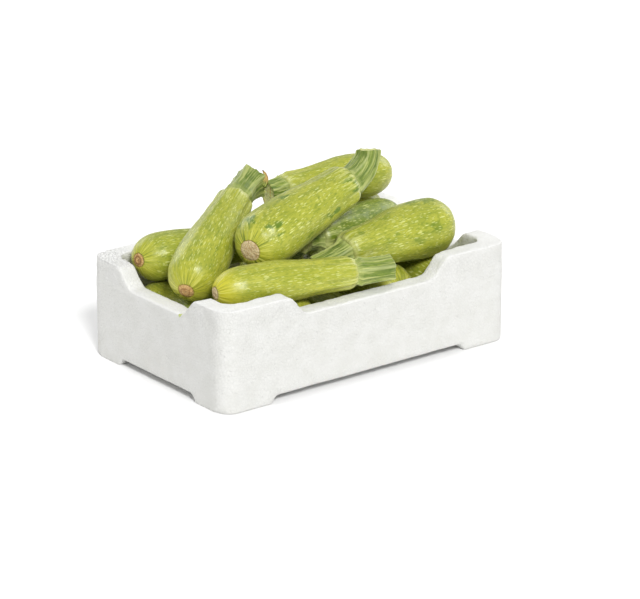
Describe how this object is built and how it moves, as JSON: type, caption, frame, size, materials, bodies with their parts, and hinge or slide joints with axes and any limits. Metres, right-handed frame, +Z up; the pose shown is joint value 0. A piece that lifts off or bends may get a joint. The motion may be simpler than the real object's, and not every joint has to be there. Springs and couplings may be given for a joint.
{
  "type": "courgettes in a box",
  "caption": "Pale green courgettes with cut stems, heaped in a low white moulded polystyrene box with dipped rims and corner feet.",
  "frame": {"origin": "on the surface the box stands on, under the middle of the box", "axes": "+X along the box's long side, towards the end that the right-hand heap's blossom ends point to; -Y is the front wall; +Z up"},
  "size_m": [0.375, 0.24, 0.2083],
  "materials": {
    "polystyrene": "white expanded polystyrene, matt, with a fine bead texture",
    "courgette_skin": "smooth waxy yellow-green vegetable skin with pale flecks",
    "courgette_stem": "ribbed fibrous green stem, pale where cut"
  },
  "bodies": {
    "root": {"box": "polystyrene", "courgette_01": "courgette_skin", "courgette_02": "courgette_skin", "courgette_03": "courgette_skin", "courgette_04": "courgette_skin", "courgette_05": "courgette_skin", "courgette_06": "courgette_skin", "courgette_07": "courgette_skin", "courgette_08": "courgette_skin", "courgette_09": "courgette_skin", "courgette_10": "courgette_skin", "courgette_11": "courgette_skin", "courgette_12": "courgette_skin", "courgette_13": "courgette_skin", "stem_01": "courgette_stem", "stem_02": "courgette_stem", "stem_03": "courgette_stem", "stem_04": "courgette_stem", "stem_05": "courgette_stem", "stem_06": "courgette_stem", "stem_07": "courgette_stem", "stem_08": "courgette_stem", "stem_09": "courgette_stem", "stem_10": "courgette_stem", "stem_11": "courgette_stem", "stem_12": "courgette_stem", "stem_13": "courgette_stem"}
  },
  "joints": []
}
